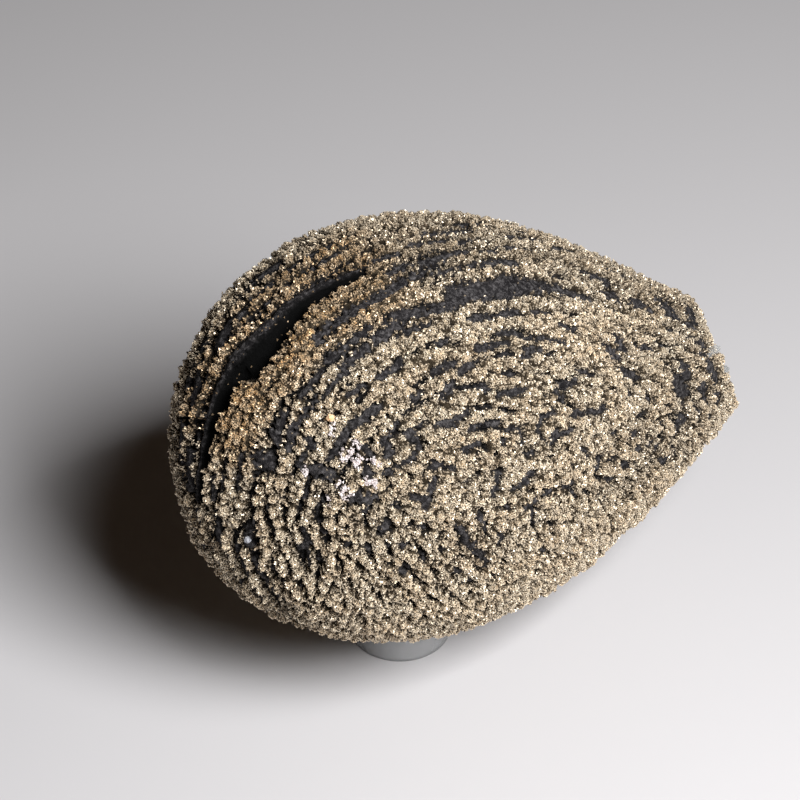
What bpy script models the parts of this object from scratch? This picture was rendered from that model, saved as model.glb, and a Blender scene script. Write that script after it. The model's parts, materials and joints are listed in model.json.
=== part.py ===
"""A pyrite concretion standing on a short clear ring.

The stone is one lens of black shale that tapers to a blunt, broken tip. It stands on its
rim, so its bedding planes are nearly upright. A crust of small pyrite crystals covers it
in worm-like ridges, with bare shale in the hollows between them. Its underside is worn
flat where it rests on the ring.

Run it with blender --background --python part.py, or from the Text Editor.
Metres, +Z up. The origin is on the table, under the middle of the whole specimen.
"""

import math

import bpy
import numpy as np
from mathutils import Matrix, Vector

MM = 0.001
COLLECTION = "pyrite_concretion"

# Ring stand: a short length of clear tube, its axis upright
RING_OUTER_RADIUS = 14.0 * MM
RING_WALL = 2.8 * MM
RING_HEIGHT = 14.0 * MM
RING_CHAMFER = 0.5 * MM
RING_SIDES = 48
REST_GAP = 0.3 * MM

# Stone: half sizes along its length, its height in the bedding plane, and its thickness
HALF_LENGTH = 86.3 * MM
HALF_HEIGHT = 55.6 * MM
HALF_THICKNESS = 45.2 * MM
TAPER = 0.317
POINTING = 0.122
ARCH = 6.3 * MM
ARCH_LEVEL = 0.33
# Waves of the stone's outline round the bedding plane: order, cosine part, sine part
OUTLINE_WAVES = ((3, -0.0035, 0.0045), (4, -0.0010, 0.0153), (5, 0.0104, 0.0086))

# Broken tip: how far along the length the break lies, and how it leans up and across
BREAK_REACH = 85.9 * MM
BREAK_LEAN_UP = -0.75
BREAK_LEAN_ACROSS = -0.44
BREAK_ROUNDING = 0.8 * MM
BREAK_STEP = 7.0 * MM
BREAK_STEP_HEIGHT = 0.9 * MM

# Where the stone's middle stands from the foot of the ring, and how its bedding faces
STONE_FROM_RING = Vector((19.0 * MM, 6.2 * MM, 70.2 * MM))
BEDDING_YAW = math.radians(30.6)
BEDDING_PITCH = math.radians(2.4)
LENGTH_DIP = math.radians(15.8)

# Low swelling under the stone, over the ring, which is worn flat where it rests
FOOT_SWELL = 3.4 * MM
FOOT_SWELL_REACH = 17.0 * MM
FOOT_SWELL_AT = Vector((-3.0 * MM, 0.0))

# Crust: worm-like ridges of pyrite with bare shale between them
RIDGE_SPACING = 8.4 * MM
RIDGE_HEIGHT = 1.9 * MM
RIDGE_SPREAD = 0.18
RIDGE_SHARE_LEVEL = -0.60
RIDGE_SOFTNESS = 0.55
RIDGE_WAVES = 240
RIDGE_SEED = 11
LAYERING = 11.0
SKIN_FLATNESS = 3.0

# Bare bands along the bedding: height across the bedding, half width, middle and half
# span of the turn round the stone in degrees, and depth below the crust's floor
BARE_BANDS = (
    ("main_gap", 6.2 * MM, 3.8 * MM, 158.0, 32.0, 3.6 * MM),
    ("long_slit", 14.2 * MM, 1.9 * MM, 118.0, 38.0, 0.7 * MM),
    ("smooth_band", 19.6 * MM, 3.0 * MM, 104.0, 34.0, 0.8 * MM),
    ("left_slit", 17.4 * MM, 2.0 * MM, -168.0, 22.0, 0.7 * MM),
    ("pale_hollow", 33.6 * MM, 2.2 * MM, 176.0, 18.0, 0.6 * MM),
    ("crest_slit", -2.0 * MM, 1.9 * MM, 68.0, 26.0, 0.7 * MM),
    ("back_gap", -21.0 * MM, 3.4 * MM, -60.0, 40.0, 2.2 * MM),
    ("back_slit", -32.0 * MM, 2.4 * MM, 95.0, 50.0, 1.0 * MM),
)
BAND_FADE = 14.0
BAND_STRENGTH = 4.0

# Mesh density of the stone before and after it is thinned
BALL_SUBDIVISIONS = 7
STONE_TRIANGLES = 8800
SHARP_ANGLE = math.radians(35)


def clear_scene():
    """Removes the objects of the open scene, so that the script can be run again."""
    for old in list(bpy.data.objects):
        bpy.data.objects.remove(old, do_unlink=True)
    for old in list(bpy.data.collections):
        bpy.data.collections.remove(old)


def plain_material(name, colour, roughness, metallic=0.0, transmission=0.0, ior=1.5):
    """A Principled material in one colour."""
    material = bpy.data.materials.new(name)
    material.use_nodes = True
    material.diffuse_color = (*colour, 1.0)
    shader = material.node_tree.nodes["Principled BSDF"]
    shader.inputs["Base Color"].default_value = (*colour, 1.0)
    shader.inputs["Roughness"].default_value = roughness
    shader.inputs["Metallic"].default_value = metallic
    shader.inputs["Transmission Weight"].default_value = transmission
    shader.inputs["IOR"].default_value = ior
    return material


def smooth_step(values):
    """0 below 0, 1 above 1, and an S-shaped rise between them."""
    inside = np.clip(values, 0.0, 1.0)
    return inside * inside * (3.0 - 2.0 * inside)


def lens_of(ball):
    """Moves points of a unit ball onto the smooth stone, before any relief.

    The first axis runs along the stone's length to its tip, the second up the bedding
    plane and the third across the bedding. Also returns how deep the break cuts in.
    """
    x, y, z = ball.T
    turn = np.arctan2(y, x)
    rim = x * x + y * y
    outline = np.ones(len(ball))
    for order, cosine, sine in OUTLINE_WAVES:
        outline += (cosine * np.cos(order * turn) + sine * np.sin(order * turn)) * rim
    narrowing = 1.0 - TAPER * x
    along = HALF_LENGTH * x * (1.0 - POINTING * (1.0 - x * x)) * outline
    up = HALF_HEIGHT * y * narrowing * outline + ARCH * (x * x - ARCH_LEVEL)
    across = HALF_THICKNESS * z * narrowing
    reach = BREAK_REACH + BREAK_LEAN_UP * up + BREAK_LEAN_ACROSS * across
    cut = BREAK_ROUNDING * np.logaddexp(0.0, (along - reach) / BREAK_ROUNDING)
    return np.stack([along - cut, up, across], axis=1), cut


def ridge_field(points, normals):
    """A random field of ridges over the stone, with a mean of 0 and a spread of 1.

    It is a sum of plane waves. Where the surface cuts the bedding, the waves that run
    across the bedding's trace count most, so that the ridges follow the layers. Where
    the surface lies along the bedding, all directions count alike.
    """
    rng = np.random.default_rng(RIDGE_SEED)
    headings = rng.normal(size=(RIDGE_WAVES, 3))
    headings /= np.linalg.norm(headings, axis=1)[:, None]
    phases = rng.uniform(0.0, 2.0 * math.pi, RIDGE_WAVES)
    lengths = RIDGE_SPACING * (1.0 + RIDGE_SPREAD * rng.uniform(-1.0, 1.0, RIDGE_WAVES))
    trace = -normals[:, 2:] * normals
    trace[:, 2] += 1.0
    slope = (trace * trace).sum(axis=1)
    total = np.zeros(len(points))
    power = np.zeros(len(points))
    for heading, phase, length in zip(headings, phases, lengths):
        layered = LAYERING * ((trace @ heading) ** 2 - slope)
        weight = np.exp(layered - SKIN_FLATNESS * (normals @ heading) ** 2)
        total += weight * np.cos(2.0 * math.pi / length * (points @ heading) + phase)
        power += 0.5 * weight * weight
    return total / np.sqrt(power)


def bare_bands(points, ball):
    """How bare each point is, from 0 to 1, and how deep the bands cut there."""
    turn = np.degrees(np.arctan2(ball[:, 1], ball[:, 0]))
    bare = np.zeros(len(points))
    depth = np.zeros(len(points))
    for _name, height, half_width, middle, half_span, cut in BARE_BANDS:
        off_turn = np.abs((turn - middle + 180.0) % 360.0 - 180.0)
        ends = smooth_step((half_span + BAND_FADE - off_turn) / (2.0 * BAND_FADE))
        width = half_width * np.sqrt(ends) + 1e-9
        here = smooth_step(1.6 * (1.0 - np.abs(points[:, 2] - height) / width)) * ends
        bare = np.maximum(bare, here)
        depth = np.maximum(depth, cut * here)
    return bare, depth


def stone_turn():
    """The stone's own axes in the world: its length, its rise and its bedding normal."""
    bedding = Vector((
        math.sin(BEDDING_YAW) * math.cos(BEDDING_PITCH),
        -math.cos(BEDDING_YAW) * math.cos(BEDDING_PITCH),
        math.sin(BEDDING_PITCH),
    ))
    level = Vector((math.cos(BEDDING_YAW), math.sin(BEDDING_YAW), 0.0))
    rise = bedding.cross(level).normalized()
    if rise.z < 0.0:
        rise.negate()
    length = math.cos(LENGTH_DIP) * level - math.sin(LENGTH_DIP) * rise
    height = math.sin(LENGTH_DIP) * level + math.cos(LENGTH_DIP) * rise
    return Matrix((length, height, bedding)).transposed()


def settle_on_ring(points, turn):
    """Swells the underside over the ring and wears it flat just above the ring's top."""
    to_world = np.array(turn)
    world = points @ to_world.T + np.array(STONE_FROM_RING)
    beside = np.hypot(world[:, 0] - FOOT_SWELL_AT.x, world[:, 1] - FOOT_SWELL_AT.y)
    below = world[:, 2] < STONE_FROM_RING.z
    world[:, 2] -= below * FOOT_SWELL * np.exp(-0.5 * (beside / FOOT_SWELL_REACH) ** 2)
    world[:, 2] = np.maximum(world[:, 2], RING_HEIGHT + REST_GAP)
    return (world - np.array(STONE_FROM_RING)) @ to_world


def mesh_points(mesh):
    """The mesh's vertex places as an array of rows."""
    flat = np.empty(len(mesh.vertices) * 3)
    mesh.vertices.foreach_get("co", flat)
    return flat.reshape(-1, 3)


def move_points(mesh, points):
    """Puts the mesh's vertices at the rows of an array."""
    mesh.vertices.foreach_set("co", points.ravel())
    mesh.update()


def mesh_normals(mesh):
    """The mesh's vertex normals as an array of rows."""
    flat = np.empty(len(mesh.vertices) * 3, dtype=np.float32)
    mesh.vertex_normals.foreach_get("vector", flat)
    return flat.reshape(-1, 3).astype(float)


def make_stone(collection, crust, shale):
    """The concretion: one closed solid with its ridges, bare bands and broken tip."""
    bpy.ops.mesh.primitive_ico_sphere_add(subdivisions=BALL_SUBDIVISIONS, radius=1.0)
    stone = bpy.context.object
    stone.name = stone.data.name = "concretion"
    mesh = stone.data
    ball = mesh_points(mesh)
    ball /= np.linalg.norm(ball, axis=1)[:, None]

    lens, cut = lens_of(ball)
    move_points(mesh, lens)
    normals = mesh_normals(mesh)
    broken = smooth_step(cut / BREAK_ROUNDING - 1.0)
    bare, depth = bare_bands(lens, ball)
    field = ridge_field(lens, normals) - BAND_STRENGTH * bare - broken
    ridge = smooth_step(0.5 + 0.5 * (field - RIDGE_SHARE_LEVEL) / RIDGE_SOFTNESS)
    steps = np.sin(2.0 * math.pi * lens[:, 2] / BREAK_STEP)
    relief = RIDGE_HEIGHT * (ridge - 1.0) - depth + BREAK_STEP_HEIGHT * steps * broken

    turn = stone_turn()
    move_points(mesh, settle_on_ring(lens + relief[:, None] * normals, turn))
    stone.matrix_world = Matrix.Translation(STONE_FROM_RING) @ turn.to_4x4()

    mesh.materials.append(crust)
    mesh.materials.append(shale)
    for face in mesh.polygons:
        face.material_index = int(ridge[list(face.vertices)].mean() < 0.5)
    thin = stone.modifiers.new("Thin out", "DECIMATE")
    thin.ratio = STONE_TRIANGLES / len(mesh.polygons)
    mesh.shade_smooth()
    mesh.set_sharp_from_angle(angle=SHARP_ANGLE)
    claim(stone, collection)
    return stone


def make_ring(collection, acrylic):
    """The ring stand: a turned clear tube with its four edges broken."""
    outer = RING_OUTER_RADIUS
    inner = RING_OUTER_RADIUS - RING_WALL
    top = RING_HEIGHT
    edge = RING_CHAMFER
    profile = (
        (outer, top - edge),
        (outer, edge),
        (outer - edge, 0.0),
        (inner + edge, 0.0),
        (inner, edge),
        (inner, top - edge),
        (inner + edge, top),
        (outer - edge, top),
    )
    count = len(profile)
    mesh = bpy.data.meshes.new("ring_stand")
    corners = [(radius, 0.0, height) for radius, height in profile]
    mesh.from_pydata(corners, [(i, (i + 1) % count) for i in range(count)], [])
    ring = bpy.data.objects.new("ring_stand", mesh)
    collection.objects.link(ring)
    mesh.materials.append(acrylic)
    spin = ring.modifiers.new("Turn", "SCREW")
    spin.axis = "Z"
    spin.angle = 2.0 * math.pi
    spin.steps = RING_SIDES
    spin.render_steps = RING_SIDES
    spin.use_merge_vertices = True
    spin.merge_threshold = 0.00005
    spin.use_smooth_shade = False
    return ring


def claim(thing, collection):
    """Moves an object into the specimen's collection."""
    for old in list(thing.users_collection):
        old.objects.unlink(thing)
    collection.objects.link(thing)


def stand_on_origin(things, collection):
    """Parents the pieces to an empty, set so that their box stands on the origin."""
    bpy.context.view_layer.update()
    graph = bpy.context.evaluated_depsgraph_get()
    spots = []
    for thing in things:
        shown = thing.evaluated_get(graph)
        spots += [shown.matrix_world @ vertex.co for vertex in shown.data.vertices]
    places = np.array(spots)
    low, high = places.min(axis=0), places.max(axis=0)
    specimen = bpy.data.objects.new("specimen", None)
    specimen.empty_display_size = 2.0 * RING_OUTER_RADIUS
    collection.objects.link(specimen)
    for thing in things:
        thing.parent = specimen
    middle = 0.5 * (low + high)
    specimen.location = (-middle[0], -middle[1], -low[2])
    bpy.context.view_layer.update()


def main():
    clear_scene()
    collection = bpy.data.collections.new(COLLECTION)
    bpy.context.scene.collection.children.link(collection)
    crust = plain_material("pyrite_crust", (0.44, 0.37, 0.24), 0.38, metallic=0.8)
    shale = plain_material("black_shale", (0.045, 0.043, 0.045), 0.75)
    acrylic = plain_material("clear_acrylic", (0.96, 0.97, 0.98), 0.03, 0.0, 1.0, 1.49)
    stone = make_stone(collection, crust, shale)
    ring = make_ring(collection, acrylic)
    stand_on_origin([stone, ring], collection)


if __name__ == "__main__":
    main()
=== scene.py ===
"""The looks of a pyrite concretion that stands on a short clear ring.

The stone is a lens of dark shale. A crust of small pyrite crystals covers it in
worm-like ridges and knobs, with bare shale in the hollows between them. The crystals are
grown over the shale by Geometry Nodes, and the ring under the stone is clear acrylic.

The file is laid out as an add-on: its operators can be called one by one from the panel
in the 3D view's sidebar, and main() calls them all in order.
"""

import json
import math

import bmesh
import bpy
import numpy as np
from bpy.props import FloatProperty, FloatVectorProperty, IntProperty, PointerProperty
from mathutils import Matrix, Vector, noise

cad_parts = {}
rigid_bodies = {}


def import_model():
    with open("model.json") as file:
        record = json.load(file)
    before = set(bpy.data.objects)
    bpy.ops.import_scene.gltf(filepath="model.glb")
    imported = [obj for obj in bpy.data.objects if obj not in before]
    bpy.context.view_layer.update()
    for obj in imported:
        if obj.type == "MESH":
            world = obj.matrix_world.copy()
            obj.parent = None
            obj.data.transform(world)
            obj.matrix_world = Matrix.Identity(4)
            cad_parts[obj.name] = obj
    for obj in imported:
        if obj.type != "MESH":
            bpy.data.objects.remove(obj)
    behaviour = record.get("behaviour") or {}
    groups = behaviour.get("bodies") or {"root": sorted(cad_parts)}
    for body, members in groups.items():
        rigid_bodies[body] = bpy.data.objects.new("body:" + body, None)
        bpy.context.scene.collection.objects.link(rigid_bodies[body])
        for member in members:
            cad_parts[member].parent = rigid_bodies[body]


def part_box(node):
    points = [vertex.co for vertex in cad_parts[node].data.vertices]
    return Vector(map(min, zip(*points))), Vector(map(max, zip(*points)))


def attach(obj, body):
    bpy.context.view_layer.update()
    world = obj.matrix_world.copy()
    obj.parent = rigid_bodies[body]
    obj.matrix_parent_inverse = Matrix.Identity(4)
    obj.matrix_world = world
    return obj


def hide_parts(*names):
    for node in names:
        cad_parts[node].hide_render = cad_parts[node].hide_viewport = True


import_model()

bl_info = {
    "name": "Pyrite Concretion",
    "version": (1, 0, 0),
    "blender": (4, 5, 0),
    "location": "3D View > Sidebar > Specimen",
    "description": "Grows a crust of pyrite crystals over a lens of dark shale on its ring",
    "category": "Object",
}

MM = 0.001
BODY = "root"

# Where the ring stands, from the frame
RING_LOW, RING_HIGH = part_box("ring_stand")
RING_FOOT = Vector((
    0.5 * (RING_LOW.x + RING_HIGH.x),
    0.5 * (RING_LOW.y + RING_HIGH.y),
    RING_LOW.z,
))
RING_TOP = RING_HIGH.z
RING_RADIUS = 0.5 * (RING_HIGH.x - RING_LOW.x)

# Smooth stone: the outline's waves round the bedding plane (order, cosine, sine part)
OUTLINE_WAVES = ((3, -0.0035, 0.0045), (4, -0.0010, 0.0153), (5, 0.0104, 0.0086))
TAPER = 0.317
POINTING = 0.122
ARCH = 6.3 * MM
ARCH_LEVEL = 0.33

# Broken tip: how far along the length the break lies, and how it leans up and across
BREAK_REACH = 85.9 * MM
BREAK_LEAN_UP = -0.75
BREAK_LEAN_ACROSS = -0.44
BREAK_ROUNDING = 0.8 * MM

# Where the stone's middle stands from the foot of the ring, and how its bedding faces
STONE_FROM_RING = Vector((19.0 * MM, 6.2 * MM, 70.2 * MM))
BEDDING_YAW = math.radians(30.6)
BEDDING_PITCH = math.radians(2.4)
LENGTH_DIP = math.radians(15.8)

# Low swelling under the stone, over the ring, which is worn flat where it rests
FOOT_SWELL = 3.4 * MM
FOOT_SWELL_REACH = 17.0 * MM
FOOT_SWELL_AT = Vector((-3.0 * MM, 0.0))
REST_GAP = 0.3 * MM

# Deep bare bands of the back: height across the bedding, half width, middle and half
# span of the turn round the stone in degrees, and depth below the crust's floor
DEEP_BANDS = (
    ("back_gap", -21.0 * MM, 3.4 * MM, -60.0, 40.0, 1.6 * MM),
    ("back_slit", -32.0 * MM, 2.4 * MM, 95.0, 50.0, 0.6 * MM),
)
BAND_FADE = 14.0

# Bare shale between the ridges, as strokes along the bedding. Each is the height across
# the bedding in millimetres and the turn in degrees of its two ends, and its half width.
RIM_STROKES = (
    # Long slit above the smooth band
    (15.2, 146, 14.4, 134, 1.3), (14.4, 134, 12.4, 124, 1.3), (12.2, 122, 11.7, 97, 1.2),
    # Smooth band, and its broken end to the left
    (19.2, 116, 19.2, 108, 2.5), (19.0, 108, 18.2, 102, 2.2), (18.2, 102, 17.8, 95, 1.8),
    (17.9, 95, 17.5, 88, 1.3), (17.5, 88, 18.0, 79, 0.9), (21.5, 117, 21.4, 131, 1.3),
    (21.4, 131, 22.5, 137, 1.5), (20.0, 137, 19.8, 148, 1.0), (23.0, 140, 23.5, 147, 1.1),
    (24.3, 147, 24.0, 164, 0.9), (21.5, 151, 21.5, 158, 0.8), (21.0, 163, 21.5, 168, 1.2),
    (23.5, 164, 25.0, 169, 1.0),
    # Streaks over the crest
    (8.5, 118, 8.2, 111, 0.95), (7.6, 109, 7.8, 100, 0.9), (2.5, 117, 2.5, 109, 1.0),
    (2.2, 108, 2.0, 101, 0.9), (8.6, 125, 8.5, 120, 1.0), (4.0, 125, 4.2, 121, 1.0),
    (5.5, 98, 5.2, 88, 0.8), (-2.0, 112, -2.4, 101, 1.0), (-1.0, 94, -1.6, 84, 1.0),
    (1.5, 82, 1.0, 74, 0.9), (-5.0, 106, -5.6, 96, 1.0), (-6.0, 88, -6.6, 76, 1.0),
    (9.0, 80, 8.6, 70, 0.8), (3.0, 68, 2.6, 60, 0.9), (-3.0, 70, -3.6, 58, 1.0),
    (14.5, 88, 14.9, 84, 0.7),
    # Channels of the upper flank
    (25.5, 116, 25.3, 111, 0.8), (24.5, 107, 24.6, 103, 0.8), (24.6, 99, 24.4, 94, 0.6),
    (28.6, 109, 29.3, 105, 0.9), (29.8, 106, 29.8, 98, 0.7), (30.0, 97, 29.8, 92, 0.6),
    (30.8, 119, 30.6, 110, 0.9), (31.8, 106, 31.6, 101, 0.8), (32.8, 107, 33.0, 105, 0.8),
    (32.4, 132, 32.2, 127, 1.0), (34.0, 127, 33.0, 122, 1.0), (28.2, 127, 28.0, 124, 0.6),
    (29.0, 143, 28.6, 137, 0.9), (34.0, 88, 33.9, 82, 0.7), (34.6, 142, 34.2, 139, 1.0),
    (28.0, 151, 28.2, 147, 0.8), (26.5, 92, 27.0, 88, 0.9), (28.5, 76, 29.0, 71, 1.3),
    (25.2, 73, 26.5, 69, 1.2), (31.0, 68, 30.0, 60, 1.2), (15.5, 73, 15.0, 69, 1.1),
    (12.5, 62, 14.0, 58, 1.0), (9.5, 52, 10.5, 48, 1.1), (24.0, 61, 24.5, 57, 1.0),
    # Left flank
    (20.3, -168, 20.0, -163, 1.3), (21.0, -159, 22.0, -146, 0.9),
    (13.0, 179, 13.4, -172, 0.7), (16.5, 176, 17.0, -176, 0.8),
    (10.5, -176, 11.0, -160, 0.8),
    # Dark streaks behind the crest
    (-7.5, 131, -8.2, 141, 1.0), (-7.9, 145, -6.6, 154, 1.1), (-8.0, 156, -6.2, 161, 1.7),
    (-8.2, 167, -4.8, 174, 1.3), (-13.2, 163, -11.8, 174, 1.2), (-6.8, -180, -5.0, -172, 1.1),
    (-0.5, -176, 0.8, -168, 1.0), (-15.0, 140, -14.0, 152, 1.1),
    # Broken edge of the tip
    (2.5, 40.5, 9.0, 42.5, 2.6), (12.5, 39.5, 15.0, 36.5, 1.8), (18.6, 32, 19.6, 25, 1.6),
    (22.8, 42, 23.2, 38, 1.5), (26.0, 41, 26.0, 32, 1.5), (23.0, 28, 22.6, 25, 1.4),
    (20.7, 16, 20.5, 12, 1.6), (13.2, 64, 12.8, 62, 1.6), (13.4, 72.5, 13.2, 70, 1.6),
    (29.5, 26, 28.5, 20, 1.3), (31.0, 8, 33.0, 2, 1.3), (8.0, 56, 8.4, 50, 1.4),
)

# Deep gap beside the crest, given in the same way, and its depth
GAP_STROKES = (
    (5.9, 130, 5.2, 137, 1.7), (5.2, 137, 5.0, 142, 2.3), (5.0, 142, 5.4, 146, 3.0),
    (5.6, 146, 6.6, 151, 3.9), (6.7, 151, 6.6, 158, 4.7), (5.6, 158, 5.0, 163, 3.6),
    (4.9, 163, 4.8, 170, 3.0), (4.8, 170, 5.3, 176, 2.5), (5.3, 176, 5.7, -179, 2.2),
    (5.7, -179, 5.3, -168, 2.0),
)
GAP_DEPTH = 3.6 * MM

# The same on the broad face, each end given along the stone's length and up its height
FACE_STROKES = (
    # Band across the pale crystals
    (-56.5, 29.0, -60.0, 25.5, 1.3), (-60.0, 25.5, -62.5, 23.5, 1.1),
    (-62.5, 23.5, -64.5, 20.0, 1.0), (-64.5, 20.0, -65.5, 16.5, 0.9),
    (-65.5, 16.0, -67.0, 15.0, 0.7), (-68.5, 11.5, -66.0, 11.5, 1.9),
    (-60.0, 6.0, -56.5, 7.0, 1.5), (-57.0, 5.0, -57.5, 3.0, 0.7),
    (-58.5, 13.5, -57.5, 13.5, 1.1), (-54.0, 14.0, -53.0, 14.5, 0.8),
    (-58.5, 19.0, -57.8, 18.5, 0.9), (-54.5, 20.5, -53.5, 19.5, 1.2),
    (-55.5, 21.5, -52.0, 26.5, 0.7), (-71.5, 14.0, -71.5, 11.5, 0.9),
    (-71.0, 18.5, -70.0, 17.0, 1.0), (-77.0, 17.0, -76.0, 15.5, 1.2),
    (-78.5, 9.5, -77.5, 9.5, 2.2), (-69.0, -5.5, -67.0, -9.0, 0.9),
    (-67.0, -9.0, -68.0, -12.0, 1.1), (-66.5, -12.0, -64.5, -17.0, 0.7),
    (-65.0, -4.0, -64.5, -4.5, 0.8), (-59.5, -6.5, -58.5, -7.0, 1.1),
    (-51.5, 0.5, -52.5, -2.0, 1.1), (-51.0, 6.0, -50.5, 5.5, 0.8),
    # Middle of the face
    (-49.0, 24.5, -46.5, 21.5, 1.2), (-52.0, 16.0, -48.0, 18.5, 0.7),
    (-42.0, 14.0, -43.5, 6.0, 0.9), (-47.0, 8.5, -44.0, 8.0, 0.9),
    (-43.0, 17.0, -38.0, 16.5, 0.7), (-43.5, 19.0, -42.5, 17.5, 0.5),
    (-40.0, 33.0, -38.0, 35.0, 1.2), (-42.0, 27.0, -38.0, 27.0, 1.0),
    (-38.0, 27.0, -34.0, 29.5, 0.8), (-34.0, 25.5, -30.0, 27.0, 0.7),
    (-28.0, 27.0, -25.0, 26.5, 0.9), (-35.0, 20.5, -31.0, 22.0, 0.9),
    (-29.0, 35.0, -28.5, 34.0, 1.0), (-25.0, 32.5, -17.0, 33.0, 0.7),
    (-23.0, 24.5, -20.5, 25.0, 0.7), (-19.0, 24.0, -18.0, 21.0, 0.7),
    (-24.5, 22.5, -24.3, 21.5, 0.7), (-17.0, 18.0, -13.5, 18.0, 0.6),
    (-24.0, 13.0, -26.0, 8.0, 0.9), (-14.0, 12.5, -18.0, 9.5, 1.0),
    (-9.0, 5.5, -5.5, 7.5, 0.7), (-15.0, 3.2, -12.0, 5.0, 1.0),
    (-22.5, 5.0, -20.0, 4.6, 0.6), (-12.0, 2.0, -11.0, -1.5, 0.6),
    (-11.0, -1.5, -7.5, -1.5, 0.6), (-29.0, 2.5, -26.5, 1.5, 0.7),
    (-26.5, 1.5, -25.5, -1.5, 0.6), (-34.0, 0.0, -31.0, -1.5, 0.8),
    (-31.0, -1.5, -29.5, -5.0, 0.8), (-29.5, -5.0, -26.0, -8.0, 0.9),
    (-26.0, -8.0, -21.5, -12.0, 0.9), (-36.2, -6.5, -35.8, -6.5, 1.0),
    (-21.0, -3.5, -19.5, -6.0, 0.9), (-31.0, -15.0, -28.5, -15.0, 0.8),
    (-47.5, -6.0, -46.0, -6.0, 0.8), (-45.2, -13.0, -44.5, -14.0, 0.9),
    (-44.0, 0.0, -42.5, 0.0, 0.6), (-3.5, -13.0, -2.5, -13.0, 0.8),
    # Towards the tip
    (-9.0, 27.0, -13.0, 26.0, 0.9), (-13.0, 26.0, -13.5, 23.5, 0.7),
    (-13.0, 22.5, -11.0, 20.5, 0.6), (-8.5, 19.5, -7.5, 21.5, 1.2),
    (-6.0, 21.0, -2.0, 21.5, 0.7), (-6.5, 31.0, -5.0, 29.5, 1.2),
    (-5.0, 31.5, 0.0, 32.5, 1.1), (-2.5, 25.0, 3.0, 24.5, 0.8),
    (5.0, 24.0, 10.0, 23.5, 0.9), (9.5, 12.5, 9.5, 9.5, 1.2),
    (4.5, 13.8, 4.8, 13.2, 0.8), (1.5, 15.5, 1.6, 15.2, 0.6),
    (-3.0, 6.5, 0.0, 7.0, 0.8), (1.5, 3.0, 4.0, 2.5, 0.6),
    (24.0, 14.0, 22.5, 14.5, 0.9), (26.5, 9.8, 26.5, 9.0, 1.0),
    (22.0, 6.5, 20.5, 6.5, 1.0), (14.0, 4.5, 18.0, 3.5, 0.6),
    (16.0, -1.0, 16.2, -1.4, 0.8), (33.0, 10.0, 32.0, 9.0, 0.9),
    (35.0, 6.8, 35.2, 6.0, 0.8), (20.5, 25.0, 21.0, 24.6, 0.9),
    (16.5, 18.5, 14.5, 16.5, 0.8), (44.0, 8.5, 44.2, 8.0, 0.9),
)

# How strongly a stroke and the gap clear the crust away, how soft and how frayed a
# stroke's edge is, and how far the middle of a wide hollow rises
STROKE_STRENGTH = 5.0
GAP_STRENGTH = 1.6
STROKE_EDGE = 0.70
STROKE_FRAY = 0.22
FLOOR_RISE = 1.9 * MM

# Random fields over the stone: the ridges, the frays of their edges and wide swellings.
# Each has its spacing in ridges, the spread of it, the number of waves that are summed,
# and how strongly the waves follow the layers.
RANDOM_FIELDS = (
    (1.0, 0.25, 420, 11.0),
    (0.40, 0.3, 160, 0.0),
    (4.2, 0.3, 80, 2.0),
)
FRAY_SHARE = 0.42
SWELL_HEIGHT = 0.25 * MM

# How much of the field the crust's edge takes up, and how its back is rounded
CRUST_EDGE = 0.55
CRUST_SHOULDER = 0.80
CRUST_BACK = 1.6

# Knobs: the width of the creases between them, and the level that keeps its height
KNOB_CREASE = 0.36
KNOB_LEVEL = 0.65

# Steps, each as where it starts and how wide it is: a hollow's raised middle and the
# black shade painted along its edge, down in the field; the gap's floor and the black
# shadow painted over its near side, across the gap; the crystals' cover and where the
# shade painted low in the crust fades out, up in the crust; and the bare part of a
# stripe, down in its wave
HOLLOW_MIDDLE = (0.6, 1.6)
HOLLOW_SHADE = (0.2, 1.45)
GAP_FLOOR = (0.15, 0.6)
GAP_PAINTED_SHADOW = (0.10, 0.20)
CRUST_COVERED = (0.42, 0.30)
CRUST_SHADE_FADE = (0.2, 0.7)
STRIPE_BARE = (0.2, 0.6)

# Tarnish: everywhere, on the striped flank, and on the swellings
TARNISH_SHARES = (0.12, 0.75, 0.15)

# Crystals: the share of them that sit loose on the bare shale, the faces of each, and
# how far they keep clear of the ring, outwards and upwards
STRAY_SHARE = 0.012
CRYSTAL_FACES = 4
RING_CLEARANCE = 2.0 * MM
RING_CLEARANCE_UP = 1.0 * MM

# Fine stripes along the bedding, on the flank beside the deep gap. They lie about a
# turn in degrees and a height across the bedding, each with its reach and its fade.
STRIPE_SPACING = 2.0 * MM
STRIPE_HEIGHT = 0.45 * MM
STRIPE_TURN = (152.0, 34.0, 12.0)
STRIPE_LEVEL = (5.0 * MM, 18.0 * MM, 8.0 * MM)

# The crust's zones: middle and half span of the turn, low and high height across the
# bedding in millimetres, and there the change of the ridges' share, the shade painted on
# the crystals and the extra height of the knobs
COVER_ZONES = (
    ("striped_flank", 158, 30, 8.5, 17.5, 1.5, 0.0, -0.4),
    ("front_face", 190, 130, 24.0, 60.0, 0.85, 0.0, -0.25),
    ("left_face", 186, 30, 10.0, 36.0, -0.28, 0.0, 0.3),
    ("crest", 90, 50, -30.0, 12.0, 0.12, 0.36, 0.5),
    ("left_rim", 168, 34, -40.0, 1.0, -0.75, 0.05, 0.2),
    ("tip", 10, 48, 0.0, 60.0, 0.0, 0.15, 0.9),
    ("lower_edge", 245, 60, 0.0, 50.0, -0.55, 0.05, 0.9),
)
ZONE_FADE_TURN = 12.0
ZONE_FADE_HEIGHT = 3.0

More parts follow.
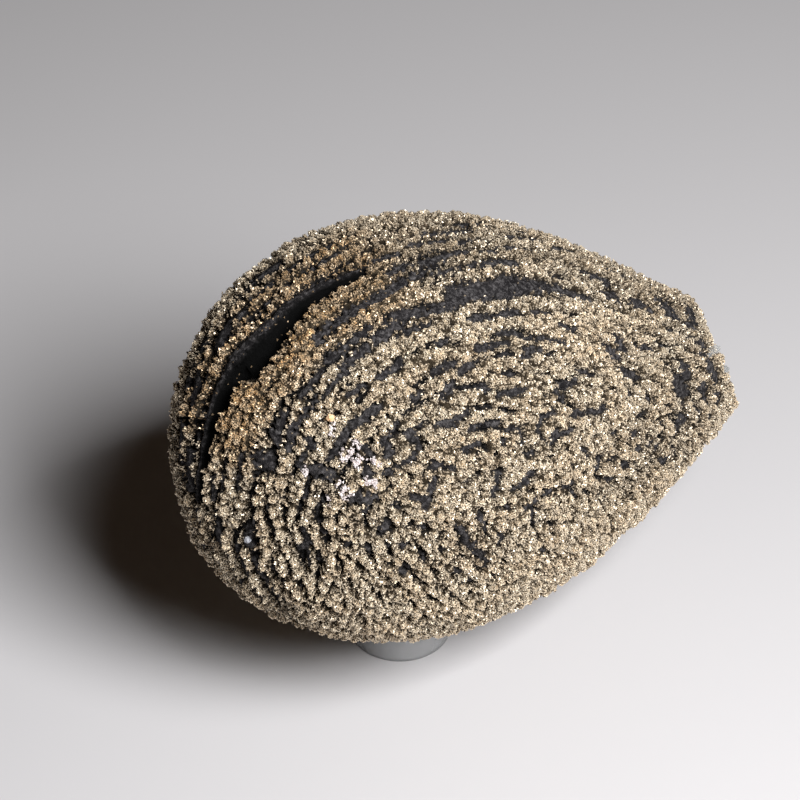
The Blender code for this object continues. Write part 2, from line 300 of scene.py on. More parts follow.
# Pale calcite grains on the face, as strokes given in the same way
CALCITE_SPOTS = (
    (-61.5, 20.5, -61.0, 19.5, 1.0), (-62.8, 17.5, -60.5, 16.0, 1.5),
    (-58.0, 17.2, -56.5, 16.8, 0.8), (-58.5, 11.9, -56.5, 11.5, 0.8),
    (-63.5, 9.0, -61.5, 7.0, 1.1), (-70.6, 10.6, -70.2, 10.2, 0.8),
    (-66.2, 23.2, -66.0, 21.5, 0.9), (-65.6, 4.8, -65.4, 4.2, 0.5),
)
CALCITE_EDGE = 0.6

# Rusty fleck, given along and up the face, and grey pebble, given by height and turn.
# Each is drawn in towards the stone's middle by a share that grows with its radius.
RUST_FLECK = (-66.6, 25.2)
RUST_FLECK_RADIUS = 0.9 * MM
GREY_PEBBLE = (20.2, -165.0)
GREY_PEBBLE_RADIUS = 0.85 * MM
LUMP_SINK = 5.0
LUMP_UNEVENNESS = 0.35

# Clear crystals beside the broken tip: height across the bedding in millimetres, turn,
# length, radius and the way that each points
TIP_CRYSTALS = (
    (15.4, 33.0, 3.6 * MM, 1.25 * MM, (0.75, 0.0, 0.65)),
    (17.0, 24.5, 3.2 * MM, 1.05 * MM, (0.85, -0.3, 0.45)),
)

# Shades of the finishes, beside the colours in the settings
SHALE_CLOUD = (0.050, 0.046, 0.048)
# The crust's surface between the crystals, painted darker than the crystals as the shade
# between them, with a grainy tone
UNDER_CRUST_DARK = (0.10, 0.075, 0.048)
UNDER_CRUST_PALE = (0.38, 0.29, 0.19)
# Painted shade in the crust's creases
PAINTED_CREVICE_SHADE = (0.008, 0.006, 0.004)
# Painted shadow: near-black painted over the gap's near side and along the hollows' edges
PAINTED_SHADE_COLOUR = (0.003, 0.003, 0.003)
CALCITE_PINK = (0.74, 0.64, 0.63)
RUST_PALE = (0.93, 0.66, 0.42)
PEBBLE_DARK = (0.26, 0.27, 0.30)
PEBBLE_PALE = (0.50, 0.50, 0.53)
CLEAR_CRYSTAL = (0.93, 0.95, 0.96)
CLEAR_ACRYLIC = (0.96, 0.97, 0.98)

# Lights: the point that they face, from the ring's foot, and where they stand from it
LIGHT_AIM = Vector((15.0 * MM, 0.0, 65.0 * MM))
KEY_WAY = Vector((0.392, -0.538, 0.746))
BACK_WAY = Vector((0.35, 0.85, 0.40))
BACK_DISTANCE = 0.9
BACK_SIZE = 0.5
KEY_COLOUR = (1.0, 1.0, 1.0)
BACK_COLOUR = (0.95, 0.97, 1.0)
SKY_COLOUR = (1.0, 0.68, 0.46)

# Camera: from the photograph's height, square on to the ring's front
CAMERA_ELEVATION = math.radians(40.0)
CAMERA_RISE = 61.8 * MM
CAMERA_DISTANCE = 850.7 * MM
CAMERA_LENS = 140.0
CAMERA_SENSOR = 36.0


class StoneSettings(bpy.types.PropertyGroup):
    """Sizes of the shale lens and of its crust."""

    half_length: FloatProperty(
        name="Half length", description="Half the stone's length before its tip is cut",
        default=86.3 * MM, unit="LENGTH",
    )
    half_height: FloatProperty(
        name="Half height", description="Half the stone's height in the bedding plane",
        default=55.6 * MM, unit="LENGTH",
    )
    half_thickness: FloatProperty(
        name="Half thickness", description="Half the stone's thickness across the bedding",
        default=45.2 * MM, unit="LENGTH",
    )
    crust_height: FloatProperty(
        name="Crust height", description="How far the crust stands over the bare shale",
        default=2.9 * MM, unit="LENGTH",
    )
    ridge_spacing: FloatProperty(
        name="Ridge spacing", description="From one worm-like ridge to the next",
        default=4.8 * MM, unit="LENGTH",
    )
    knob_size: FloatProperty(
        name="Knob size", description="Across one knob of the crust",
        default=2.6 * MM, unit="LENGTH",
    )
    knob_height: FloatProperty(
        name="Knob height", description="How far a knob stands over the crease beside it",
        default=1.15 * MM, unit="LENGTH",
    )
    ridge_share: FloatProperty(
        name="Ridge share", description="Level of the field above which the crust grows",
        default=0.62,
    )
    seed: IntProperty(name="Seed", description="Seed of the ridges", default=11)


class CrystalSettings(bpy.types.PropertyGroup):
    """Sizes of the crystals that make up the crust."""

    spacing: FloatProperty(
        name="Spacing", description="Least distance from one crystal to the next",
        default=0.355 * MM, unit="LENGTH",
    )
    density: FloatProperty(
        name="Trials", description="Places tried for each square metre of crust",
        default=1.9e7,
    )
    radius: FloatProperty(
        name="Radius", description="From a crystal's axis to its three lower corners",
        default=0.41 * MM, unit="LENGTH",
    )
    height: FloatProperty(
        name="Height", description="From a crystal's lower corners to its top corner",
        default=0.29 * MM, unit="LENGTH",
    )
    tilt: FloatProperty(
        name="Tilt", description="How far a crystal may lean out of the upright",
        default=0.65, unit="ROTATION",
    )
    lift: FloatProperty(
        name="Lift", description="How unevenly the crystals stand out of the crust",
        default=0.16 * MM, unit="LENGTH",
    )
    sectors: IntProperty(
        name="Sectors", description="Pieces that the crystals are shared between",
        default=5,
    )
    seed: IntProperty(name="Seed", description="Seed of the crystals", default=3)


class ColourSettings(bpy.types.PropertyGroup):
    """Colours of the stone and its stand."""

    pyrite_pale: FloatVectorProperty(
        name="Pale pyrite", description="Colour of the brightest crystals",
        subtype="COLOR", default=(0.96, 0.86, 0.69),
    )
    pyrite_brass: FloatVectorProperty(
        name="Brassy pyrite", description="Colour of the deeper crystals",
        subtype="COLOR", default=(0.89, 0.76, 0.57),
    )
    # Painted shade: the colour of each crystal's foot and of crystals deep in creases
    pyrite_painted_shade: FloatVectorProperty(
        name="Pyrite root", description="Colour of the crystals low down in the crust",
        subtype="COLOR", default=(0.12, 0.085, 0.055),
    )
    tarnish: FloatVectorProperty(
        name="Tarnish", description="Colour of the tarnished crystals",
        subtype="COLOR", default=(0.84, 0.54, 0.26),
    )
    shale: FloatVectorProperty(
        name="Shale", description="Colour of the bare shale",
        subtype="COLOR", default=(0.168, 0.158, 0.159),
    )
    shale_dark: FloatVectorProperty(
        name="Dark shale", description="Colour of the shale's darker specks",
        subtype="COLOR", default=(0.013, 0.012, 0.013),
    )
    calcite: FloatVectorProperty(
        name="Calcite", description="Colour of the pale grains",
        subtype="COLOR", default=(0.84, 0.78, 0.78),
    )
    rust: FloatVectorProperty(
        name="Rust", description="Colour of the rusty fleck",
        subtype="COLOR", default=(0.84, 0.48, 0.22),
    )
    floor: FloatVectorProperty(
        name="Floor", description="Colour of the floor",
        subtype="COLOR", default=(0.672, 0.660, 0.674),
    )


class StageSettings(bpy.types.PropertyGroup):
    """Floor and lights."""

    key_power: FloatProperty(
        name="Key power", description="Power of the key light", default=10.5, unit="POWER",
    )
    key_size: FloatProperty(
        name="Key size", description="Width of the key light", default=0.34, unit="LENGTH",
    )
    key_distance: FloatProperty(
        name="Key distance", description="From the stone to the key light",
        default=0.79, unit="LENGTH",
    )
    back_power: FloatProperty(
        name="Back power", description="Power of the weak light from behind",
        default=1.2, unit="POWER",
    )
    ambient: FloatProperty(
        name="Ambient", description="Strength of the light from all round", default=0.017,
    )
    floor_size: FloatProperty(
        name="Floor size", description="Width of the floor", default=5.0, unit="LENGTH",
    )


def smooth_step(values):
    """0 below 0, 1 above 1, and an S-shaped rise between them."""
    inside = np.clip(values, 0.0, 1.0)
    return inside * inside * (3.0 - 2.0 * inside)


def rise(values, start, width):
    """0 below the start, 1 above it by more than the width, and an S-shaped rise."""
    return smooth_step((values - start) / width)


def lens_of(ball, sizes):
    """Moves points of a unit ball onto the smooth stone, before any relief.

    The first axis runs along the stone's length to its tip, the second up the bedding
    plane and the third across the bedding.
    """
    x, y, z = ball.T
    turn = np.arctan2(y, x)
    rim = x * x + y * y
    outline = np.ones(len(ball))
    for order, cosine, sine in OUTLINE_WAVES:
        outline += (cosine * np.cos(order * turn) + sine * np.sin(order * turn)) * rim
    narrowing = 1.0 - TAPER * x
    along = sizes.half_length * x * (1.0 - POINTING * (1.0 - x * x)) * outline
    up = sizes.half_height * y * narrowing * outline + ARCH * (x * x - ARCH_LEVEL)
    across = sizes.half_thickness * z * narrowing
    reach = BREAK_REACH + BREAK_LEAN_UP * up + BREAK_LEAN_ACROSS * across
    cut = BREAK_ROUNDING * np.logaddexp(0.0, (along - reach) / BREAK_ROUNDING)
    return np.stack([along - cut, up, across], axis=1)


def rim_point(height, turn_degrees, sizes):
    """The place on the smooth stone at a height across the bedding and a turn."""
    turn = math.radians(turn_degrees)
    z = height / sizes.half_thickness
    for _ in range(30):
        x = math.sqrt(max(0.0, 1.0 - z * z)) * math.cos(turn)
        z = 0.5 * z + 0.5 * height / (sizes.half_thickness * (1.0 - TAPER * x))
    rim = math.sqrt(max(0.0, 1.0 - z * z))
    ball = np.array([[rim * math.cos(turn), rim * math.sin(turn), z]])
    return lens_of(ball, sizes)[0]


def face_points(places, points):
    """The points of the broad face nearest to places given along and up the stone."""
    front = points[points[:, 2] > 0.0]
    found = []
    for along, up in places:
        beside = np.hypot(front[:, 0] - along, front[:, 1] - up)
        found.append(front[beside.argmin()])
    return np.array(found)


def strokes_on(points, sizes):
    """The two ends in space and the half width of every stroke of bare shale."""
    return rim_strokes(RIM_STROKES, sizes) + face_strokes(FACE_STROKES, points)


def rim_strokes(rows, sizes):
    """The same for strokes given by height across the bedding and turn."""
    strokes = []
    for low, low_turn, high, high_turn, half_width in rows:
        start = rim_point(low * MM, low_turn, sizes)
        end = rim_point(high * MM, high_turn, sizes)
        strokes.append((start, end, half_width * MM))
    return strokes


def face_strokes(rows, points):
    """The same for strokes of the broad face."""
    strokes = []
    for along, up, along_end, up_end, half_width in rows:
        ends = face_points(((along * MM, up * MM), (along_end * MM, up_end * MM)), points)
        strokes.append((ends[0], ends[1], half_width * MM))
    return strokes


def painted(points, strokes, edge, fray=0.0):
    """How deep each point lies in the strokes, from 0 outside to 1 in their middle.

    The edge is how soft their border is, as a share of their half width, and the fray
    is a field that moves it in and out.
    """
    inside = np.zeros(len(points))
    for start, end, half_width in strokes:
        run = end - start
        share = ((points - start) @ run) / max(run @ run, 1e-12)
        off = points - start - np.clip(share, 0.0, 1.0)[:, None] * run
        away = np.sqrt((off * off).sum(axis=1)) / half_width + fray
        inside = np.maximum(inside, smooth_step((1.0 + edge - away) / (2.0 * edge)))
    return inside


def gap_across(points, strokes, fray):
    """How deep each point lies in the gap, and how far across it the point lies.

    The second number runs from 0 at the gap's smooth far edge to 1 at its frayed near
    one.
    """
    inside = np.zeros(len(points))
    across = np.zeros(len(points))
    for start, end, half_width in strokes:
        run = end - start
        share = np.clip(((points - start) @ run) / (run @ run), 0.0, 1.0)
        off = points - start - share[:, None] * run
        side = 0.5 + 0.5 * off[:, 2] / half_width
        frayed = STROKE_FRAY * np.clip(side, 0.0, 1.0) * fray
        away = np.sqrt((off * off).sum(axis=1)) / half_width + frayed
        here = smooth_step((1.2 - away) / 0.4)
        across = np.where(here > inside, side, across)
        inside = np.maximum(inside, here)
    return inside, np.clip(across, 0.0, 1.0)


def wave_field(points, normals, spacing, spread, waves, seed, layering, flatness=3.0):
    """A random field of ridges over the stone, with a mean of 0 and a spread of 1.

    It is a sum of plane waves. Where the surface cuts the bedding, the waves that run
    across the bedding's trace count most, so that the ridges follow the layers. Where
    the surface lies along the bedding, all directions count alike.
    """
    rng = np.random.default_rng(seed)
    headings = rng.normal(size=(waves, 3))
    headings /= np.linalg.norm(headings, axis=1)[:, None]
    phases = rng.uniform(0.0, 2.0 * math.pi, waves)
    lengths = spacing * (1.0 + spread * rng.uniform(-1.0, 1.0, waves))
    trace = -normals[:, 2:] * normals
    trace[:, 2] += 1.0
    slope = (trace * trace).sum(axis=1)
    total = np.zeros(len(points), dtype=np.float32)
    power = np.zeros(len(points), dtype=np.float32)
    points = points.astype(np.float32)
    normals = normals.astype(np.float32)
    trace = trace.astype(np.float32)
    slope = slope.astype(np.float32)
    for heading, phase, length in zip(headings.astype(np.float32), phases, lengths):
        layered = layering * ((trace @ heading) ** 2 - slope)
        weight = np.exp(layered - flatness * (normals @ heading) ** 2)
        ripple = np.cos(np.float32(2.0 * math.pi / length) * (points @ heading)
                        + np.float32(phase))
        total += weight * ripple
        power += 0.5 * weight * weight
    return (total / np.sqrt(power)).astype(float)


def random_fields(points, normals, sizes):
    """The ridges, the frays and the swells over the stone."""
    fields = []
    for index, (share, spread, waves, layering) in enumerate(RANDOM_FIELDS):
        spacing = share * sizes.ridge_spacing
        seed = sizes.seed + index
        fields.append(
            wave_field(points, normals, spacing, spread, waves, seed, layering)
        )
    return fields


def striped_flank(points, turn):
    """How strongly each point is striped, from 0 to 1."""
    middle, reach, fade = STRIPE_TURN
    striped = smooth_step((reach - np.abs(turn - middle)) / fade)
    level, level_reach, level_fade = STRIPE_LEVEL
    striped *= smooth_step((level_reach - np.abs(points[:, 2] - level)) / level_fade)
    return striped


def turns_of(ball):
    """The turn round the stone of each point, in degrees."""
    return np.degrees(np.arctan2(ball[:, 1], ball[:, 0]))


def deep_bands(points, turn):
    """How bare each point is, from 0 to 1, and how deep the bands cut there."""
    bare = np.zeros(len(points))
    depth = np.zeros(len(points))
    for _name, height, half_width, middle, half_span, cut in DEEP_BANDS:
        off_turn = np.abs((turn - middle + 180.0) % 360.0 - 180.0)
        ends = smooth_step((half_span + BAND_FADE - off_turn) / (2.0 * BAND_FADE))
        width = half_width * np.sqrt(ends) + 1e-9
        here = smooth_step(1.6 * (1.0 - np.abs(points[:, 2] - height) / width)) * ends
        bare = np.maximum(bare, here)
        depth = np.maximum(depth, cut * here)
    return bare, depth


def cover_zones(points, turn):
    """How much fuller the crust is at each point, how much painted shade darkens it, and how
    knobbly.
    """
    shift = np.zeros(len(points))
    zone_shade = np.zeros(len(points))
    rough = np.ones(len(points))
    for _name, middle, half_span, low, high, change, shade_share, lumps in COVER_ZONES:
        off_turn = np.abs((turn - middle + 180.0) % 360.0 - 180.0)
        in_turn = smooth_step((half_span + ZONE_FADE_TURN - off_turn) / ZONE_FADE_TURN)
        fade = ZONE_FADE_HEIGHT * MM
        in_low = smooth_step((points[:, 2] - low * MM + fade) / fade)
        in_high = smooth_step((high * MM + fade - points[:, 2]) / fade)
        here = in_turn * in_low * in_high
        shift += change * here
        zone_shade = np.maximum(zone_shade, shade_share * here)
        rough += lumps * here
    return shift, zone_shade, rough


def knob_field(points, size):
    """Rounded knobs with creases between them, from 0 in a crease to 1 on a knob."""
    scaled = points / size
    near = np.empty(len(points))
    crease = np.empty(len(points))
    for index, place in enumerate(scaled):
        distances = noise.voronoi(place)[0]
        near[index] = distances[0]
        crease[index] = distances[1] - distances[0]
    dome = np.sqrt(np.clip(1.0 - near * near, 0.0, 1.0))
    return dome * smooth_step(crease / KNOB_CREASE)


def stone_turn():
    """The stone's own axes in the world: its length, its rise and its bedding normal."""
    bedding = Vector((
        math.sin(BEDDING_YAW) * math.cos(BEDDING_PITCH),
        -math.cos(BEDDING_YAW) * math.cos(BEDDING_PITCH),
        math.sin(BEDDING_PITCH),
    ))
    level = Vector((math.cos(BEDDING_YAW), math.sin(BEDDING_YAW), 0.0))
    upward = bedding.cross(level).normalized()
    if upward.z < 0.0:
        upward.negate()
    length = math.cos(LENGTH_DIP) * level - math.sin(LENGTH_DIP) * upward
    height = math.sin(LENGTH_DIP) * level + math.cos(LENGTH_DIP) * upward
    return Matrix((length, height, bedding)).transposed()


def in_world(points):
    """Stone places in the world, settled on the ring."""
    to_world = np.array(stone_turn())
    beside_ring = points @ to_world.T + np.array(STONE_FROM_RING)
    away = np.hypot(
        beside_ring[:, 0] - FOOT_SWELL_AT.x, beside_ring[:, 1] - FOOT_SWELL_AT.y
    )
    below = beside_ring[:, 2] < STONE_FROM_RING.z
    swell = FOOT_SWELL * np.exp(-0.5 * (away / FOOT_SWELL_REACH) ** 2)
    beside_ring[:, 2] -= below * swell
    ring_height = RING_TOP - RING_FOOT.z
    beside_ring[:, 2] = np.maximum(beside_ring[:, 2], ring_height + REST_GAP)
    return beside_ring + np.array(RING_FOOT)


def mesh_points(mesh):
    """The mesh's vertex places as an array of rows."""
    flat = np.empty(len(mesh.vertices) * 3)
    mesh.vertices.foreach_get("co", flat)
    return flat.reshape(-1, 3)


def move_points(mesh, points):
    """Puts the mesh's vertices at the rows of an array."""
    mesh.vertices.foreach_set("co", points.ravel())
    mesh.update()


def mesh_normals(mesh):
    """The mesh's vertex normals as an array of rows."""
    flat = np.empty(len(mesh.vertices) * 3, dtype=np.float32)
    mesh.vertex_normals.foreach_get("vector", flat)
    return flat.reshape(-1, 3).astype(float)


def write_values(mesh, name, values, domain="POINT"):
    """Stores one number for each vertex or face under a name."""
    layer = mesh.attributes.get(name) or mesh.attributes.new(name, "FLOAT", domain)
    layer.data.foreach_set("value", np.asarray(values, dtype=np.float32))


def new_object(name, mesh):
    """An object of a mesh, linked to the scene."""
    made = bpy.data.objects.new(name, mesh)
    bpy.context.scene.collection.objects.link(made)
    return made


def plain_copy(source, name):
    """The evaluated mesh of an object as a new object, its modifiers applied."""
    graph = bpy.context.evaluated_depsgraph_get()
    shown = source.evaluated_get(graph)
    mesh = bpy.data.meshes.new_from_object(
        shown, preserve_all_data_layers=True, depsgraph=graph
    )
    mesh.name = name
    return new_object(name, mesh)


def settle(piece, slot, *nodes):
    """Makes a finished piece ride on the one body, and hides the CAD nodes that it stands in
    for.
    """
    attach(piece, BODY)
    if nodes:
        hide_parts(*nodes)


class Number:
    """A shader socket that can stand in a sum."""

    def __init__(self, finish, socket):
        self.finish = finish
        self.socket = socket

    def __add__(self, other):
        return self.finish.maths("ADD", self, other)

    def __radd__(self, other):
        return self.finish.maths("ADD", other, self)

    def __sub__(self, other):
        return self.finish.maths("SUBTRACT", self, other)

    def __rsub__(self, other):
        return self.finish.maths("SUBTRACT", other, self)

    def __mul__(self, other):
        return self.finish.maths("MULTIPLY", self, other)

    def __rmul__(self, other):
        return self.finish.maths("MULTIPLY", other, self)


class Finish:
    """A material whose nodes are laid one after another."""

    def __init__(self, name):
        self.material = bpy.data.materials.new(name)
        self.material.use_nodes = True
        self.tree = self.material.node_tree
        self.shader = self.tree.nodes["Principled BSDF"]
        self.place = self.node("ShaderNodeTexCoord").outputs["Object"]

    def node(self, kind, settings=None, values=None):
        """Adds a node, with its settings set first and then its sockets."""
        made = self.tree.nodes.new(kind)
        for name, value in (settings or {}).items():
            if name == "stops":
                self.set_stops(made, value)
            else:
                setattr(made, name, value)
        for socket, value in (values or {}).items():
            self.put(made.inputs[socket], value)
        return made

    def put(self, socket, value):
        """Links a socket, or gives it a plain value."""
        if isinstance(value, Number):
            value = value.socket
        if isinstance(value, bpy.types.NodeSocket):
            self.tree.links.new(value, socket)
        elif hasattr(value, "__len__") and len(value) == 3 and socket.type == "RGBA":
            socket.default_value = (*value, 1.0)
        else:
            socket.default_value = value

    @staticmethod
    def set_stops(ramp, stops):
        """Gives a colour ramp its stops."""
        band = ramp.color_ramp
        while len(band.elements) < len(stops):
            band.elements.new(0.5)
        for element, (place, shade) in zip(band.elements, stops):
            element.position = place
            element.color = (shade, shade, shade, 1.0)

    def maths(self, operation, first, second):
        """One step of a sum on two numbers."""
        made = self.node("ShaderNodeMath", {"operation": operation})
        self.put(made.inputs[0], first)
        self.put(made.inputs[1], second)
        return Number(self, made.outputs[0])

    def attribute(self, name):
        """A number stored on the mesh."""
        made = self.node("ShaderNodeAttribute", {"attribute_name": name})
        return Number(self, made.outputs["Fac"])

    def noise(self, size, detail=3.0, roughness=0.55):
        """Noise whose lumps are about a size across."""
        made = self.node(
            "ShaderNodeTexNoise", {"noise_dimensions": "3D"},
            {"Vector": self.place, "Scale": 1.0 / size, "Detail": detail,
             "Roughness": roughness},
        )
        return Number(self, made.outputs[0])

    def ramp(self, number, low, high):
        """A number that rises from 0 at low to 1 at high."""
        made = self.node(
            "ShaderNodeValToRGB", {"stops": ((low, 0.0), (high, 1.0))}, {"Fac": number}
        )
        return Number(self, made.outputs["Color"])

    def mix(self, share, first, second):
        """A colour between two."""
        made = self.node("ShaderNodeMix", {"data_type": "RGBA"})
        for socket, value in (("Factor_Float", share), ("A_Color", first),
                              ("B_Color", second)):
            found = next(s for s in made.inputs if s.identifier == socket)
            self.put(found, value)
        return next(s for s in made.outputs if s.identifier == "Result_Color")

    def bump(self, height, distance):
        """Roughens the shading by a height field."""
        made = self.node(
            "ShaderNodeBump", None,
            {"Height": height, "Distance": distance, "Strength": 1.0},
        )
        self.put(self.shader.inputs["Normal"], made.outputs["Normal"])

    def finish(self, **values):
        """Sets the shader's sockets by their names."""
        for name, value in values.items():
            self.put(self.shader.inputs[name.replace("_", " ")], value)
        return self.material


def shale_material(colours):
    """Dark shale with fine specks, brassy where the crust covers it, with painted shade in
    the crust's creases, along the hollows' edges and over the gap.
    """
    look = Finish("black_shale")
    crust = look.attribute("crust")
    specks = look.noise(1.1 * MM, detail=6.0, roughness=0.78)
    specks = look.ramp(specks, 0.47, 0.66)
    cloud = look.ramp(look.noise(9.0 * MM), 0.35, 0.65)
    bare = look.mix(specks, colours.shale_dark, colours.shale)
    bare = look.mix(cloud * 0.3, bare, SHALE_CLOUD)
    grit = look.ramp(look.noise(0.35 * MM, detail=2.0), 0.35, 0.65)
    # Painted shade: the surface between the crystals is darker than they are, and darker
    # still in the creases
    under = look.mix(grit, UNDER_CRUST_DARK, UNDER_CRUST_PALE)
    under = look.mix(look.attribute("level"), PAINTED_CREVICE_SHADE, under)
    under = look.mix(crust, bare, under)
    look.bump(look.noise(1.4 * MM, detail=6.0, roughness=0.72), 0.9 * MM)
    look.shader.inputs["Specular IOR Level"].default_value = 0.05
    # Painted shadow: black over the gap's near side and along the hollows' edges
    return look.finish(
        Base_Color=look.mix(look.attribute("deep"), under, PAINTED_SHADE_COLOUR),
        Metallic=crust * 0.2,
        Roughness=0.82,
    )


def pyrite_material(colours):
    """Brassy pyrite, each crystal with its own tint and polish, and painted shade towards
    each crystal's foot and in the crust's creases.
    """
    look = Finish("pyrite_crystals")
    tint = look.attribute("tint")
    polish = look.attribute("polish")
    tarnish = look.attribute("tarnish")
    brass = look.mix(tint, colours.pyrite_pale, colours.pyrite_brass)
    patchy = look.ramp(look.noise(2.2 * MM, detail=2.0), 0.40, 0.62)
    brass = look.mix(tarnish * (0.5 + patchy * 0.5), brass, colours.tarnish)
    # Painted shade: each crystal darkens towards its foot, and more in creases and low in the
    # crust
    painted_lit_share = look.ramp(look.attribute("point"), 0.0, 0.15)
    painted_lit_share = painted_lit_share * (0.28 + look.attribute("level") * 0.72)
    return look.finish(
        Base_Color=look.mix(painted_lit_share, colours.pyrite_painted_shade, brass),
        Metallic=0.43,
        Roughness=0.33 + polish * 0.20,
    )


def calcite_material(colours):
    """Pale, slightly pinkish calcite grains."""
    look = Finish("calcite_grains")
    tint = look.attribute("tint")
    shade = look.mix(tint, colours.calcite, CALCITE_PINK)
    return look.finish(Base_Color=shade, Roughness=0.28)


def rust_material(colours):
    """A rusty fleck, paler in its middle."""
    look = Finish("rust_fleck")
    blotch = look.ramp(look.noise(0.8 * MM), 0.35, 0.65)
    shade = look.mix(blotch, colours.rust, RUST_PALE)
    look.bump(look.noise(0.3 * MM), 0.08 * MM)
    return look.finish(Base_Color=shade, Roughness=0.55)


def pebble_material():
    """A grey pebble caught in the crust."""
    look = Finish("grey_pebble")
    blotch = look.ramp(look.noise(0.7 * MM), 0.35, 0.65)
    shade = look.mix(blotch, PEBBLE_DARK, PEBBLE_PALE)
    look.bump(look.noise(0.3 * MM), 0.06 * MM)
    return look.finish(Base_Color=shade, Roughness=0.45)


def clear_material(name, colour, ior, roughness, clearness):
    """A clear solid, faintly clouded."""
    look = Finish(name)
    haze = look.ramp(look.noise(3.0 * MM), 0.35, 0.75)
    look.shader.inputs["Transmission Weight"].default_value = clearness
    look.shader.inputs["IOR"].default_value = ior
    return look.finish(
        Base_Color=look.mix(haze, colour, tuple(0.97 * part for part in colour)),
        Roughness=roughness + haze * 0.02,
    )


def floor_material(colours):
    """A matt, pale floor with a barely uneven tone."""
    look = Finish("pale_floor")
    tone = look.noise(0.30)
    darker = tuple(0.97 * part for part in colours.floor)
    return look.finish(
        Base_Color=look.mix(tone, colours.floor, darker), Roughness=0.85
    )


class Tree:
    """A Geometry Nodes tree with named inputs, built in order."""

    def __init__(self, name):
        self.tree = bpy.data.node_groups.new(name, "GeometryNodeTree")
        self.tree.is_modifier = True
        self.faces = self.tree.interface
        self.faces.new_socket("Geometry", in_out="INPUT", socket_type="NodeSocketGeometry")
        self.faces.new_socket("Geometry", in_out="OUTPUT", socket_type="NodeSocketGeometry")
        self.start = self.tree.nodes.new("NodeGroupInput")
        self.end = self.tree.nodes.new("NodeGroupOutput")

    def input(self, name, kind):
        """Adds a named input and returns its socket."""
        self.faces.new_socket(name, in_out="INPUT", socket_type=kind)
        return self.start.outputs[name]

    def node(self, kind, settings=None, values=None):
        """Adds a node, with its settings set first and then its sockets."""
        made = self.tree.nodes.new(kind)
        for name, value in (settings or {}).items():
            setattr(made, name, value)
        for socket, value in (values or {}).items():
            self.put(made.inputs[socket], value)
        return made

    def put(self, socket, value):
        """Links a socket, or gives it a plain value."""
        if isinstance(value, bpy.types.NodeSocket):
            self.tree.links.new(value, socket)
        else:
            socket.default_value = value

    def random(self, low, high, seed, kind="FLOAT"):
        """A random number or vector for each element."""
        made = self.node("FunctionNodeRandomValue", {"data_type": kind})
        tag = {"FLOAT": "_001", "FLOAT_VECTOR": ""}[kind]
        for name, value in (("Min" + tag, low), ("Max" + tag, high), ("Seed", seed)):
            found = next(s for s in made.inputs if s.identifier == name)
            self.put(found, value)
        return next(s for s in made.outputs if s.enabled)

    def stored(self, geometry, name, value):
        """Stores a number on the points under a name."""
        made = self.node(
            "GeometryNodeStoreNamedAttribute", {"data_type": "FLOAT", "domain": "POINT"},
            {"Geometry": geometry, "Name": name, "Value": value},
        )
        return made.outputs[0]


